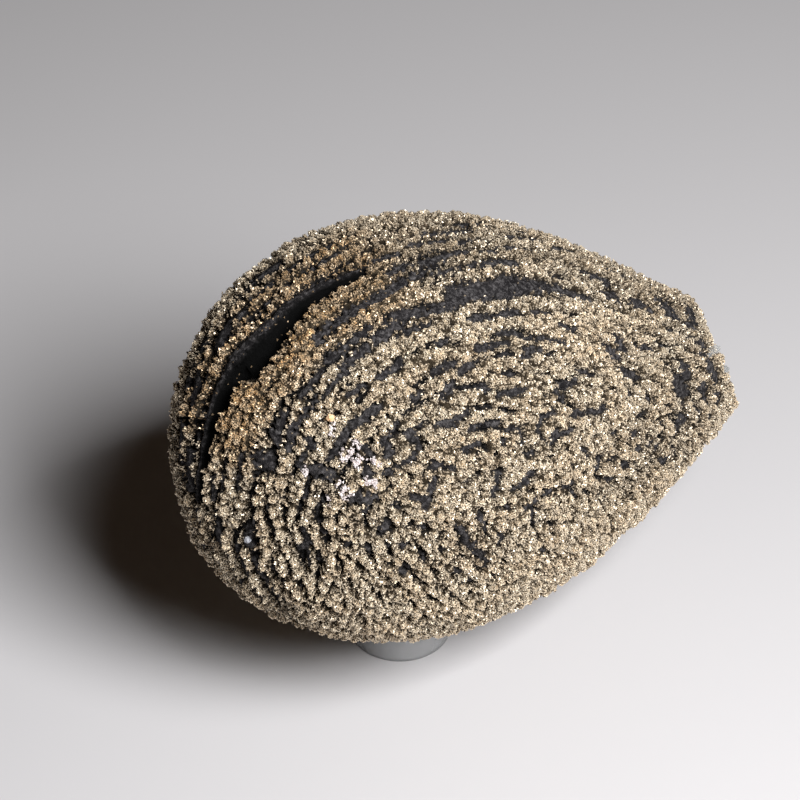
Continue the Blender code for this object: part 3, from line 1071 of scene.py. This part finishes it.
def crystal_tree():
    """Scatters small cube corners over a form, thick where a mask is 1."""
    tree = Tree("Crystal crust")
    sector = tree.input("Sector", "NodeSocketInt")
    mask = tree.input("Mask", "NodeSocketString")
    spacing = tree.input("Spacing", "NodeSocketFloat")
    trials = tree.input("Trials", "NodeSocketFloat")
    radius = tree.input("Radius", "NodeSocketFloat")
    height = tree.input("Height", "NodeSocketFloat")
    tilt = tree.input("Tilt", "NodeSocketFloat")
    lift = tree.input("Lift", "NodeSocketFloat")
    seed = tree.input("Seed", "NodeSocketInt")
    material = tree.input("Material", "NodeSocketMaterial")

    own = tree.node(
        "GeometryNodeInputNamedAttribute", {"data_type": "INT"}, {"Name": "sector"}
    )
    here = tree.node(
        "FunctionNodeCompare", {"data_type": "INT", "operation": "EQUAL"},
        {2: own.outputs["Attribute"], 3: sector},
    )
    cover = tree.node(
        "GeometryNodeInputNamedAttribute", {"data_type": "FLOAT"}, {"Name": mask}
    )
    scatter = tree.node(
        "GeometryNodeDistributePointsOnFaces", {"distribute_method": "POISSON"},
        {"Mesh": tree.start.outputs["Geometry"], "Selection": here.outputs[0],
         "Distance Min": spacing, "Density Max": trials,
         "Density Factor": cover.outputs["Attribute"], "Seed": seed},
    )
    points = tree.stored(scatter.outputs["Points"], "tint", tree.random(0.0, 1.0, 1))
    points = tree.stored(points, "polish", tree.random(0.0, 1.0, 2))

    # Each crystal stands out of the crust, or sinks into it, by a random part of the lift
    outwards = tree.node(
        "ShaderNodeVectorMath", {"operation": "SCALE"},
        {0: scatter.outputs["Normal"]},
    )
    stand = tree.node(
        "ShaderNodeMath", {"operation": "MULTIPLY"},
        {0: tree.random(-1.4, 0.6, 3), 1: lift},
    )
    tree.put(outwards.inputs["Scale"], stand.outputs[0])
    points = tree.node(
        "GeometryNodeSetPosition", None,
        {"Geometry": points, "Offset": outwards.outputs[0]},
    ).outputs[0]

    # A three-sided cone, the corner of a cube, which knows how near its point a place is
    crystal = tree.node(
        "GeometryNodeMeshCone", {"fill_type": "NGON"},
        {"Vertices": 3, "Radius Top": 0.0, "Radius Bottom": radius, "Depth": height},
    )
    place = tree.node("GeometryNodeInputPosition")
    parts = tree.node("ShaderNodeSeparateXYZ", None, {0: place.outputs[0]})
    share = tree.node(
        "ShaderNodeMath", {"operation": "DIVIDE"}, {0: parts.outputs["Z"], 1: height}
    )
    pointed = tree.stored(crystal.outputs["Mesh"], "point", share.outputs[0])
    flat = tree.node(
        "GeometryNodeSetShadeSmooth", None,
        {"Geometry": pointed, "Shade Smooth": False},
    )
    # A random lean, turn and size for each
    lean = tree.node("ShaderNodeCombineXYZ")
    for axis, seed_of_axis in (("X", 4), ("Y", 5)):
        part = tree.node(
            "ShaderNodeMath", {"operation": "MULTIPLY"},
            {0: tree.random(-1.0, 1.0, seed_of_axis), 1: tilt},
        )
        tree.put(lean.inputs[axis], part.outputs[0])
    tree.put(lean.inputs["Z"], tree.random(0.0, math.tau, 6))
    turned = tree.node(
        "FunctionNodeRotateRotation", {"rotation_space": "LOCAL"},
        {"Rotation": scatter.outputs["Rotation"], "Rotate By": lean.outputs[0]},
    )
    size = tree.random((0.70, 0.70, 0.70), (1.25, 1.25, 1.25), 7, "FLOAT_VECTOR")
    grown = tree.node(
        "GeometryNodeInstanceOnPoints", None,
        {"Points": points, "Instance": flat.outputs[0],
         "Rotation": turned.outputs[0], "Scale": size},
    )
    real = tree.node(
        "GeometryNodeRealizeInstances", None, {"Geometry": grown.outputs[0]}
    )
    done = tree.node(
        "GeometryNodeSetMaterial", None,
        {"Geometry": real.outputs[0], "Material": material},
    )
    tree.put(tree.end.inputs["Geometry"], done.outputs[0])
    return tree.tree


def run_tree(form, group, values, name):
    """Runs a tree on a form and returns its result as a plain object."""
    modifier = form.modifiers.new(group.name, "NODES")
    modifier.node_group = group
    sockets = {item.name: item.identifier for item in group.interface.items_tree
               if item.in_out == "INPUT"}
    for label, value in values.items():
        modifier[sockets[label]] = value
    form.update_tag()
    bpy.context.view_layer.update()
    made = plain_copy(form, name)
    form.modifiers.remove(modifier)
    return made


def form_object():
    """The fine form of the crust, which the crystals grow on."""
    form = bpy.data.objects.get("crust_form")
    if form is None:
        raise RuntimeError("The crust's form is missing: shape the stone first")
    return form


class SPECIMEN_OT_shape_stone(bpy.types.Operator):
    """Shapes the fine form of the stone and its crust, as a guide for the other pieces"""

    bl_idname = "specimen.shape_stone"
    bl_label = "Shape the Stone"

    def execute(self, context):
        sizes = context.scene.specimen_stone
        bpy.ops.mesh.primitive_ico_sphere_add(subdivisions=8, radius=1.0)
        form = context.object
        form.name = form.data.name = "crust_form"
        mesh = form.data
        ball = mesh_points(mesh)
        ball /= np.linalg.norm(ball, axis=1)[:, None]
        turn = turns_of(ball)
        lens = lens_of(ball, sizes)
        move_points(mesh, lens)
        normals = mesh_normals(mesh)

        # Where the crust grows: above 0 in this field, and never in a stroke or the gap
        ridges, frays, swells = random_fields(lens, normals, sizes)
        bands, depth = deep_bands(lens, turn)
        gap, across = gap_across(lens, rim_strokes(GAP_STROKES, sizes), frays)
        bare = painted(lens, strokes_on(lens, sizes), STROKE_EDGE, STROKE_FRAY * frays)
        bare = np.maximum(bands, bare)
        shift, zone_shade, rough = cover_zones(lens, turn)
        field = ridges + FRAY_SHARE * frays + sizes.ridge_share
        field += np.where(shift > 0.0, shift * (1.0 - bare), shift)
        field -= STROKE_STRENGTH * np.maximum(bare, GAP_STRENGTH * gap)
        crust = smooth_step(0.5 + field / CRUST_EDGE)

        # How high the surface stands over the smooth stone
        knobs = knob_field(lens, sizes.knob_size)
        rounded = CRUST_SHOULDER + (1.0 - CRUST_SHOULDER) * smooth_step(field / CRUST_BACK)
        relief = sizes.crust_height * (crust * rounded - 1.0)
        relief += sizes.knob_height * rough * crust * (knobs - KNOB_LEVEL)
        relief += FLOOR_RISE * rise(-field, *HOLLOW_MIDDLE) * (1.0 - crust)
        gap_floor = gap * rise(across, *GAP_FLOOR)
        relief += SWELL_HEIGHT * swells - np.maximum(depth, GAP_DEPTH * gap_floor)
        striped = striped_flank(lens, turn)
        stripes = np.cos(math.tau * lens[:, 2] / STRIPE_SPACING + 0.8 * swells)
        relief += STRIPE_HEIGHT * striped * crust * stripes
        places = in_world(lens + relief[:, None] * normals)
        move_points(mesh, places)

        # What grows where, and the shade painted on it: darker in the knobs' creases, low in
        # the crust, in some zones and in the stripes' troughs, and black along the hollows'
        # edges and over the gap's near side
        calcite = painted(lens, face_strokes(CALCITE_SPOTS, lens), CALCITE_EDGE)
        calcite *= smooth_step(0.9 + 0.9 * frays)
        everywhere, on_stripes, on_swells = TARNISH_SHARES
        tarnish = everywhere + on_stripes * striped
        tarnish += on_swells * smooth_step(0.5 + swells)
        near_ring = np.hypot(places[:, 0] - RING_FOOT.x, places[:, 1] - RING_FOOT.y)
        on_ring = near_ring < RING_RADIUS + RING_CLEARANCE
        on_ring &= places[:, 2] < RING_TOP + RING_CLEARANCE_UP
        cover = rise(crust, *CRUST_COVERED) * smooth_step(0.2 + knobs / 0.3)
        cover *= 1.0 - 0.5 * striped * rise(-stripes, *STRIPE_BARE)
        cover = np.where(on_ring, 0.0, np.maximum(cover, STRAY_SHARE))
        # Painted shade: crystals darker in the knobs' creases, low in the crust, in some
        # zones and in the stripes' troughs
        level = 0.1 + 0.9 * smooth_step(knobs / 0.6)
        level *= rise(crust, *CRUST_SHADE_FADE) * (1.0 - zone_shade)
        level *= 1.0 - 0.35 * striped * (0.5 - 0.5 * stripes)
        # Painted shade: black along the hollows' edges, below the crust's walls, and painted
        # shadow over the gap's near side
        edge = (1.0 - crust) * (1.0 - rise(-field, *HOLLOW_SHADE))
        deep = gap * rise(across, *GAP_PAINTED_SHADOW)
        write_values(mesh, "crust", np.where(on_ring, 0.0, crust))
        write_values(mesh, "pyrite_cover", cover * (1.0 - smooth_step(2.0 * calcite)))
        write_values(mesh, "calcite_cover", np.where(cover > 0.2, calcite, 0.0))
        write_values(mesh, "tarnish", tarnish)
        write_values(mesh, "level", level)
        write_values(mesh, "deep", np.maximum(deep, edge))
        self.share_out(mesh, lens, cover, context.scene.specimen_crystals.sectors)
        form.hide_render = True
        return {"FINISHED"}

    @staticmethod
    def share_out(mesh, lens, cover, count):
        """Numbers the faces so that each sector along the stone has as much crust."""
        corners = np.empty(len(mesh.polygons) * 3, dtype=np.int32)
        mesh.polygons.foreach_get("vertices", corners)
        corners = corners.reshape(-1, 3)
        area = np.empty(len(mesh.polygons), dtype=np.float32)
        mesh.polygons.foreach_get("area", area)
        share = area * cover[corners].mean(axis=1)
        along = lens[corners, 0].mean(axis=1)
        order = np.argsort(along)
        grown = np.cumsum(share[order]) / share.sum()
        sector = np.empty(len(order), dtype=np.int32)
        sector[order] = np.minimum((grown * count).astype(np.int32), count - 1)
        layer = mesh.attributes.new("sector", "INT", "FACE")
        layer.data.foreach_set("value", sector)


class SPECIMEN_OT_shale_lens(bpy.types.Operator):
    """Makes the shale lens, one closed mesh that shows between the ridges"""

    bl_idname = "specimen.shale_lens"
    bl_label = "Shale Lens"

    sink = 0.22 * MM
    triangles = 190_000

    def execute(self, context):
        form = form_object()
        lens = new_object("shale_lens", form.data.copy())
        mesh = lens.data
        crust = np.empty(len(mesh.vertices), dtype=np.float32)
        mesh.attributes["crust"].data.foreach_get("value", crust)
        places = mesh_points(mesh) - self.sink * crust[:, None] * mesh_normals(mesh)
        places[:, 2] = np.maximum(places[:, 2], RING_TOP + REST_GAP)
        move_points(mesh, places)
        thin = lens.modifiers.new("Thin out", "DECIMATE")
        thin.ratio = self.triangles / len(mesh.polygons)
        context.view_layer.update()
        piece = plain_copy(lens, "concretion_shale")
        bpy.data.objects.remove(lens, do_unlink=True)
        piece.data.shade_smooth()
        piece.data.materials.append(shale_material(context.scene.specimen_colours))
        settle(piece, "pyrite_crust", "concretion")
        return {"FINISHED"}


def map_crystals(mesh):
    """Gives each crystal its own cell of a map, for a baked copy of the colours."""
    faces = len(mesh.polygons)
    crystals = faces // CRYSTAL_FACES
    side = math.ceil(math.sqrt(crystals))
    cell = np.repeat(np.arange(crystals), 3 * CRYSTAL_FACES)
    corner = np.tile(np.array(((0.08, 0.08), (0.92, 0.08), (0.50, 0.92))), (faces, 1))
    grid = np.stack([cell % side, cell // side], axis=1)
    layer = mesh.uv_layers.new(name="OFBake")
    layer.data.foreach_set("uv", ((grid + corner) / side).astype(np.float32).ravel())


class SPECIMEN_OT_pyrite_crystals(bpy.types.Operator):
    """Grows the crust of small pyrite crystals, in sectors along the stone"""

    bl_idname = "specimen.pyrite_crystals"
    bl_label = "Pyrite Crystals"

    def execute(self, context):
        form = form_object()
        choice = context.scene.specimen_crystals
        group = crystal_tree()
        material = pyrite_material(context.scene.specimen_colours)
        for sector in range(choice.sectors):
            values = {
                "Sector": sector, "Mask": "pyrite_cover", "Spacing": choice.spacing,
                "Trials": choice.density, "Radius": choice.radius,
                "Height": choice.height, "Tilt": choice.tilt, "Lift": choice.lift,
                "Seed": choice.seed + sector, "Material": material,
            }
            name = f"pyrite_crystals_{sector + 1}"
            piece = run_tree(form, group, values, name)
            map_crystals(piece.data)
            settle(piece, "pyrite_crust")
        return {"FINISHED"}


class SPECIMEN_OT_pale_grains(bpy.types.Operator):
    """Adds the calcite grains, the rusty fleck and the grey pebble"""

    bl_idname = "specimen.pale_grains"
    bl_label = "Pale Grains"

    def execute(self, context):
        colours = context.scene.specimen_colours
        form = form_object()
        choice = context.scene.specimen_crystals
        layer = form.data.attributes["sector"]
        layer.data.foreach_set("value", np.zeros(len(form.data.polygons), dtype=np.int32))
        values = {
            "Sector": 0, "Mask": "calcite_cover", "Spacing": 0.8 * choice.spacing,
            "Trials": 2.0 * choice.density, "Radius": 1.15 * choice.radius,
            "Height": 1.3 * choice.height, "Tilt": choice.tilt,
            "Lift": 1.6 * choice.lift, "Seed": choice.seed + 50,
            "Material": calcite_material(colours),
        }
        grains = run_tree(form, crystal_tree(), values, "calcite_grains")
        map_crystals(grains.data)
        settle(grains, "pyrite_crust")

        sizes = context.scene.specimen_stone
        lens = lens_points(sizes)
        along, up = RUST_FLECK
        fleck = face_points(((along * MM, up * MM),), lens)[0]
        self.lump("rust_fleck", fleck, RUST_FLECK_RADIUS, rust_material(colours), 5)
        height, turn = GREY_PEBBLE
        pebble = rim_point(height * MM, turn, sizes)
        self.lump("grey_pebble", pebble, GREY_PEBBLE_RADIUS, pebble_material(), 8)
        return {"FINISHED"}

    @staticmethod
    def lump(name, place, radius, material, seed):
        """A small uneven lump half sunk in the crust."""
        bpy.ops.mesh.primitive_ico_sphere_add(subdivisions=4, radius=1.0)
        lump = bpy.context.object
        lump.name = lump.data.name = name
        ball = mesh_points(lump.data)
        ball /= np.linalg.norm(ball, axis=1)[:, None]
        shift = Vector((seed, 0.0, 0.0))
        reach = [1.0 + LUMP_UNEVENNESS * noise.noise(1.6 * Vector(spot) + shift)
                 for spot in ball]
        centre = in_world(np.array([place * (1.0 - LUMP_SINK * radius)]))[0]
        move_points(lump.data, centre + radius * np.array(reach)[:, None] * ball)
        lump.data.shade_smooth()
        lump.data.materials.append(material)
        settle(lump, "pyrite_crust")


def lens_points(sizes):
    """Points of the smooth stone, close together."""
    bpy.ops.mesh.primitive_ico_sphere_add(subdivisions=7, radius=1.0)
    guide = bpy.context.object
    ball = mesh_points(guide.data)
    bpy.data.objects.remove(guide, do_unlink=True)
    ball /= np.linalg.norm(ball, axis=1)[:, None]
    return lens_of(ball, sizes)


class SPECIMEN_OT_tip_crystals(bpy.types.Operator):
    """Adds the two clear crystals beside the broken tip"""

    bl_idname = "specimen.tip_crystals"
    bl_label = "Tip Crystals"

    # Top, shoulder and root of a crystal, from its foot point as shares of its length
    top = 0.65
    shoulder = 0.35
    root = -0.5

    def execute(self, context):
        sizes = context.scene.specimen_stone
        clear = clear_material(
            "clear_crystal", CLEAR_CRYSTAL, ior=1.54, roughness=0.03, clearness=0.75
        )
        for index, (height, turn, length, radius, lean) in enumerate(TIP_CRYSTALS):
            foot = in_world(np.array([rim_point(height * MM, turn, sizes)]))[0]
            self.crystal(f"clear_crystal_{index + 1}", foot, lean, length, radius, clear)
        return {"FINISHED"}

    @classmethod
    def crystal(cls, name, foot, lean, length, radius, material):
        """A six-sided prism with a point, leaning out of the crust."""
        bpy.ops.mesh.primitive_cone_add(
            vertices=6, radius1=radius, radius2=0.0, depth=1.0, end_fill_type="NGON"
        )
        crystal = bpy.context.object
        crystal.name = crystal.data.name = name
        mesh = crystal.data
        places = mesh_points(mesh)
        places[:, 2] = length * np.where(places[:, 2] > 0.0, cls.top, cls.shoulder)
        move_points(mesh, places)
        extend_prism(mesh, length * (cls.shoulder - cls.root))
        towards = Vector(lean).normalized()
        turn = Vector((0.0, 0.0, 1.0)).rotation_difference(towards).to_matrix()
        mesh.transform(Matrix.Translation(Vector(foot)) @ turn.to_4x4())
        mesh.shade_flat()
        mesh.materials.append(material)
        settle(crystal, "pyrite_crust")


def extend_prism(mesh, depth):
    """Draws the base of a six-sided cone out into a prism below it."""
    work = bmesh.new()
    work.from_mesh(mesh)
    base = [face for face in work.faces if len(face.verts) == 6]
    drawn = bmesh.ops.extrude_discrete_faces(work, faces=base)
    for face in drawn["faces"]:
        bmesh.ops.translate(work, verts=face.verts, vec=(0.0, 0.0, -depth))
    bmesh.ops.remove_doubles(work, verts=work.verts, dist=1e-6)
    bmesh.ops.recalc_face_normals(work, faces=work.faces)
    work.to_mesh(mesh)
    work.free()


class SPECIMEN_OT_ring_stand(bpy.types.Operator):
    """Turns the clear ring that the stone stands on"""

    bl_idname = "specimen.ring_stand"
    bl_label = "Ring Stand"

    wall = 2.8 * MM
    edge = 0.45 * MM
    edge_steps = 4
    sides = 160

    def execute(self, context):
        outer = RING_RADIUS
        inner = RING_RADIUS - self.wall
        top = RING_TOP - RING_FOOT.z
        corners = (
            (outer - self.edge, top - self.edge, 90.0),
            (outer - self.edge, self.edge, 0.0),
            (inner + self.edge, self.edge, -90.0),
            (inner + self.edge, top - self.edge, -180.0),
        )
        profile = []
        for radius, height, start in corners:
            for step in range(self.edge_steps + 1):
                angle = math.radians(start - 90.0 * step / self.edge_steps)
                profile.append((radius + self.edge * math.cos(angle), 0.0,
                                height + self.edge * math.sin(angle)))
        count = len(profile)
        mesh = bpy.data.meshes.new("ring_guide")
        mesh.from_pydata(profile, [(i, (i + 1) % count) for i in range(count)], [])
        guide = new_object("ring_guide", mesh)
        spin = guide.modifiers.new("Turn", "SCREW")
        spin.axis = "Z"
        spin.angle = math.tau
        spin.steps = self.sides
        spin.render_steps = self.sides
        spin.use_merge_vertices = True
        spin.merge_threshold = 0.00002
        context.view_layer.update()
        ring = plain_copy(guide, "acrylic_ring")
        bpy.data.objects.remove(guide, do_unlink=True)
        ring.data.transform(Matrix.Translation(RING_FOOT))
        ring.data.shade_smooth()
        acrylic = clear_material(
            "clear_acrylic", CLEAR_ACRYLIC, ior=1.49, roughness=0.01, clearness=0.72
        )
        ring.data.materials.append(acrylic)
        settle(ring, "clear_acrylic", "ring_stand")
        return {"FINISHED"}


def area_light(name, place, target, size, power, colour):
    """A square light that faces a target."""
    data = bpy.data.lights.new(name, "AREA")
    data.shape = "SQUARE"
    data.size = size
    data.energy = power
    data.color = colour
    light = bpy.data.objects.new(name, data)
    bpy.context.scene.collection.objects.link(light)
    light.location = place
    light.rotation_euler = (target - place).to_track_quat("-Z", "Y").to_euler()
    light.visible_camera = False
    return light


class SPECIMEN_OT_stage(bpy.types.Operator):
    """Lays the floor and sets the lights and the camera"""

    bl_idname = "specimen.stage"
    bl_label = "Stage"

    def execute(self, context):
        scene = context.scene
        choice = scene.specimen_stage
        middle = RING_FOOT + LIGHT_AIM

        bpy.ops.mesh.primitive_grid_add(
            x_subdivisions=8, y_subdivisions=8, size=choice.floor_size
        )
        floor = context.object
        floor.name = floor.data.name = "floor"
        floor.data.materials.append(floor_material(scene.specimen_colours))

        area_light(
            "key_light", middle + choice.key_distance * KEY_WAY.normalized(), middle,
            choice.key_size, choice.key_power, KEY_COLOUR,
        )
        rear = area_light(
            "back_light", middle + BACK_DISTANCE * BACK_WAY.normalized(), middle,
            BACK_SIZE, choice.back_power, BACK_COLOUR,
        )
        lit = bpy.data.collections.new("lit_from_behind")
        for piece in scene.objects:
            if piece.type == "MESH" and piece is not floor:
                lit.objects.link(piece)
        rear.light_linking.receiver_collection = lit

        world = bpy.data.worlds.new("studio")
        scene.world = world
        world.use_nodes = True
        sky = world.node_tree.nodes["Background"]
        sky.inputs["Color"].default_value = (*SKY_COLOUR, 1.0)
        sky.inputs["Strength"].default_value = choice.ambient

        back = Vector((0.0, -math.cos(CAMERA_ELEVATION), math.sin(CAMERA_ELEVATION)))
        up = Vector((0.0, math.sin(CAMERA_ELEVATION), math.cos(CAMERA_ELEVATION)))
        right = Vector((1.0, 0.0, 0.0))
        data = bpy.data.cameras.new("camera")
        data.lens = CAMERA_LENS
        data.sensor_width = CAMERA_SENSOR
        data.clip_start = 0.01
        camera = bpy.data.objects.new("camera", data)
        scene.collection.objects.link(camera)
        turn = Matrix((right, up, back)).transposed()
        place = RING_FOOT + CAMERA_RISE * up + CAMERA_DISTANCE * back
        camera.matrix_world = Matrix.Translation(place) @ turn.to_4x4()
        scene.camera = camera
        scene.view_settings.view_transform = "Standard"
        return {"FINISHED"}


class SPECIMEN_OT_clear_guides(bpy.types.Operator):
    """Removes the guide form once the crystals are grown"""

    bl_idname = "specimen.clear_guides"
    bl_label = "Clear Guides"

    def execute(self, context):
        bpy.data.objects.remove(form_object(), do_unlink=True)
        return {"FINISHED"}


class SPECIMEN_PT_panel(bpy.types.Panel):
    """Lists the specimen's settings and pieces"""

    bl_idname = "SPECIMEN_PT_panel"
    bl_label = "Pyrite Concretion"
    bl_space_type = "VIEW_3D"
    bl_region_type = "UI"
    bl_category = "Specimen"

    def draw(self, context):
        for group in SETTINGS:
            box = self.layout.box()
            held = getattr(context.scene, group)
            for name in held.__annotations__:
                box.prop(held, name)
        for piece in PIECES:
            self.layout.operator(piece.bl_idname)


SETTINGS = {
    "specimen_stone": StoneSettings,
    "specimen_crystals": CrystalSettings,
    "specimen_colours": ColourSettings,
    "specimen_stage": StageSettings,
}
PIECES = (
    SPECIMEN_OT_shape_stone,
    SPECIMEN_OT_shale_lens,
    SPECIMEN_OT_pyrite_crystals,
    SPECIMEN_OT_pale_grains,
    SPECIMEN_OT_tip_crystals,
    SPECIMEN_OT_ring_stand,
    SPECIMEN_OT_clear_guides,
    SPECIMEN_OT_stage,
)


def register():
    """Registers the settings, the operators and the panel."""
    for name, group in SETTINGS.items():
        bpy.utils.register_class(group)
        setattr(bpy.types.Scene, name, PointerProperty(type=group))
    for piece in PIECES:
        bpy.utils.register_class(piece)
    bpy.utils.register_class(SPECIMEN_PT_panel)


def unregister():
    """Takes them all away again."""
    bpy.utils.unregister_class(SPECIMEN_PT_panel)
    for piece in reversed(PIECES):
        bpy.utils.unregister_class(piece)
    for name, group in SETTINGS.items():
        delattr(bpy.types.Scene, name)
        bpy.utils.unregister_class(group)


def main():
    """Makes the whole specimen."""
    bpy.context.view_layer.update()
    register()
    for piece in PIECES:
        family, name = piece.bl_idname.split(".")
        getattr(getattr(bpy.ops, family), name)()


if __name__ == "__main__":
    main()
